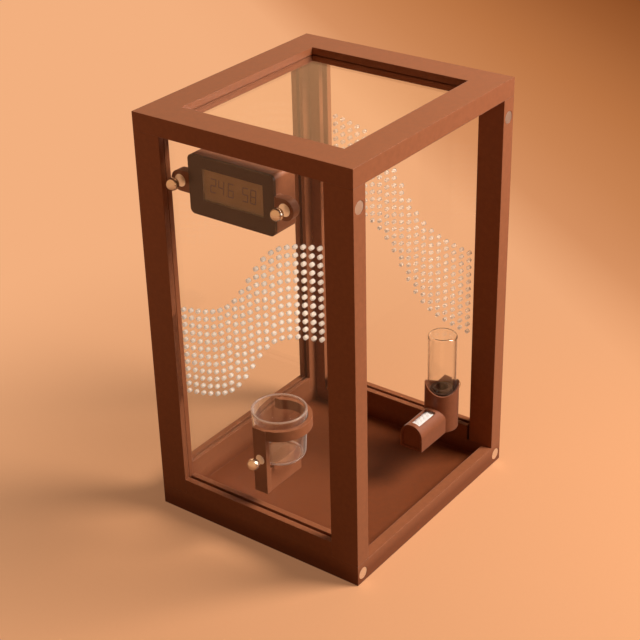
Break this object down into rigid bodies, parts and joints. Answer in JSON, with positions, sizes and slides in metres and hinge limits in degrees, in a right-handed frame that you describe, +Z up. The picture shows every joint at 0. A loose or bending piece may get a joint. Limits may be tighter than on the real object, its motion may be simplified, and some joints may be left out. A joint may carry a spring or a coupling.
{
  "type": "jumping spider enclosure",
  "caption": "Tall box for a jumping spider: printed frame, clear vented sheets, an open side with magnets, and a thermometer, feeding cup and water dispenser on magnets.",
  "frame": {"origin": "middle of the base tray's underside", "axes": "+Z up, +X towards the open side, -Y towards the front sheet with the thermometer"},
  "size_m": [0.12, 0.136, 0.211],
  "materials": {
    "printed": "printed, fine horizontal layers",
    "clear_sheet": "clear, polished",
    "magnet": "nickel plated",
    "steel_ball": "polished",
    "meter_shell": "satin black",
    "meter_window": "clear, polished",
    "display": "smooth liquid crystal panel",
    "circuit_board": "lacquered",
    "cell": "brushed",
    "clear_cup": "clear, moulded",
    "clear_vial": "clear, moulded",
    "stopper": "matt",
    "cotton": "soft fibre"
  },
  "bodies": {
    "frame": {"base_tray": "printed", "post_front_left": "printed", "post_front_right": "printed", "post_rear_right": "printed", "post_rear_left": "printed", "top_frame": "printed", "top_retainer": "printed", "front_panel": "clear_sheet", "rear_panel": "clear_sheet", "side_panel": "clear_sheet", "top_panel": "clear_sheet", "frame_magnets": "magnet"},
    "meter": {"meter_holder": "printed", "meter_case": "meter_shell", "meter_lens": "meter_window", "meter_display": "display", "meter_board": "circuit_board", "meter_cells": "cell", "meter_magnets": "magnet"},
    "meter_cover": {"meter_back_cover": "meter_shell"},
    "left_ball": {"meter_ball_left": "steel_ball"},
    "right_ball": {"meter_ball_right": "steel_ball"},
    "feeder": {"feeder_holder": "printed", "feeder_magnet": "magnet"},
    "cup": {"feeder_cup": "clear_cup"},
    "feeder_pin": {"feeder_ball": "steel_ball"},
    "dispenser": {"dispenser_holder": "printed", "dispenser_magnet": "magnet", "wick": "cotton"},
    "vial": {"water_vial": "clear_vial", "vial_stopper": "stopper"},
    "dispenser_pin": {"dispenser_ball": "steel_ball"}
  },
  "joints": [
    {"name": "meter_lift", "type": "slide", "parent": "frame", "child": "meter", "axis": [0, 1, 0], "range_m": [0, 0.03]},
    {"name": "cover_lift", "type": "slide", "parent": "meter", "child": "meter_cover", "axis": [0, 1, 0], "range_m": [0, 0.01]},
    {"name": "left_ball_lift", "type": "slide", "parent": "frame", "child": "left_ball", "axis": [0, -1, 0], "range_m": [0, 0.03]},
    {"name": "right_ball_lift", "type": "slide", "parent": "frame", "child": "right_ball", "axis": [0, -1, 0], "range_m": [0, 0.03]},
    {"name": "feeder_lift", "type": "slide", "parent": "frame", "child": "feeder", "axis": [0, 1, 0], "range_m": [0, 0.03]},
    {"name": "cup_lift", "type": "slide", "parent": "feeder", "child": "cup", "axis": [0, 0, 1], "range_m": [0, 0.03]},
    {"name": "feeder_ball_lift", "type": "slide", "parent": "frame", "child": "feeder_pin", "axis": [0, -1, 0], "range_m": [0, 0.03]},
    {"name": "dispenser_lift", "type": "slide", "parent": "frame", "child": "dispenser", "axis": [0, -1, 0], "range_m": [0, 0.03]},
    {"name": "vial_lift", "type": "slide", "parent": "dispenser", "child": "vial", "axis": [0, 0, 1], "range_m": [0, 0.05]},
    {"name": "dispenser_ball_lift", "type": "slide", "parent": "frame", "child": "dispenser_pin", "axis": [0, 1, 0], "range_m": [0, 0.03]}
  ]
}
